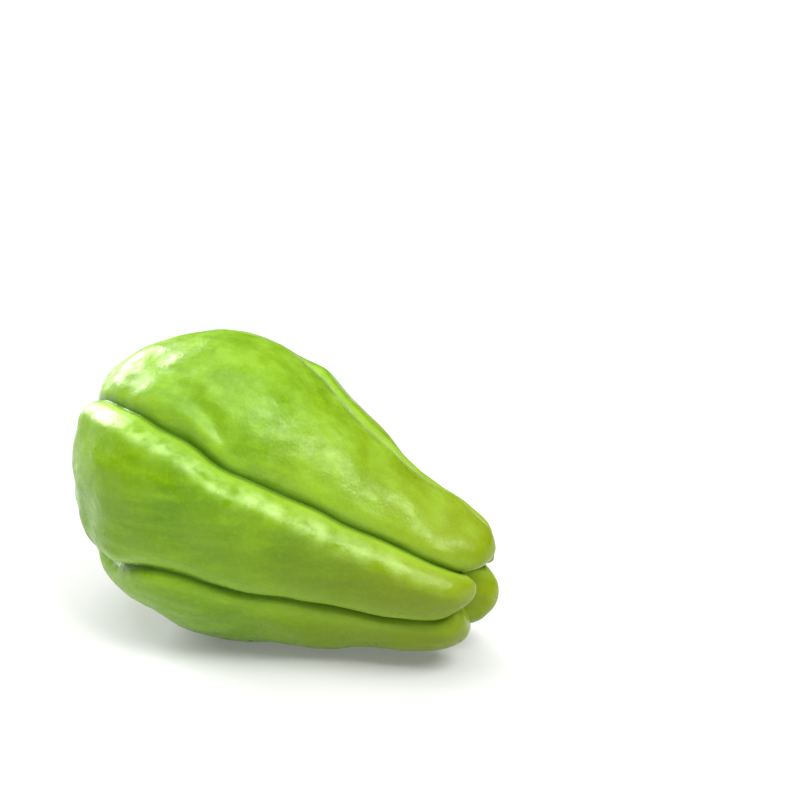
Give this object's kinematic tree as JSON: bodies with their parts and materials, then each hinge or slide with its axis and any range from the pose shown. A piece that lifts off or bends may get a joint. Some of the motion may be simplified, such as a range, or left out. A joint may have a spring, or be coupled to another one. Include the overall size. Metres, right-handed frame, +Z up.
{
  "type": "chayote squash",
  "caption": "Pear-shaped green squash lying on its side, with rounded lobes parted by deep grooves, a puckered stem end and a cleft blossom end",
  "frame": {"origin": "on the surface it lies on, under the middle of its bounding box", "axes": "+X along the fruit towards its stem end, +Z up, -Y the front side that the picture shows"},
  "size_m": [0.1348, 0.0926, 0.0939],
  "materials": {
    "skin": "semi-gloss waxy fruit skin"
  },
  "bodies": {
    "root": {"chayote": "skin"}
  },
  "joints": []
}
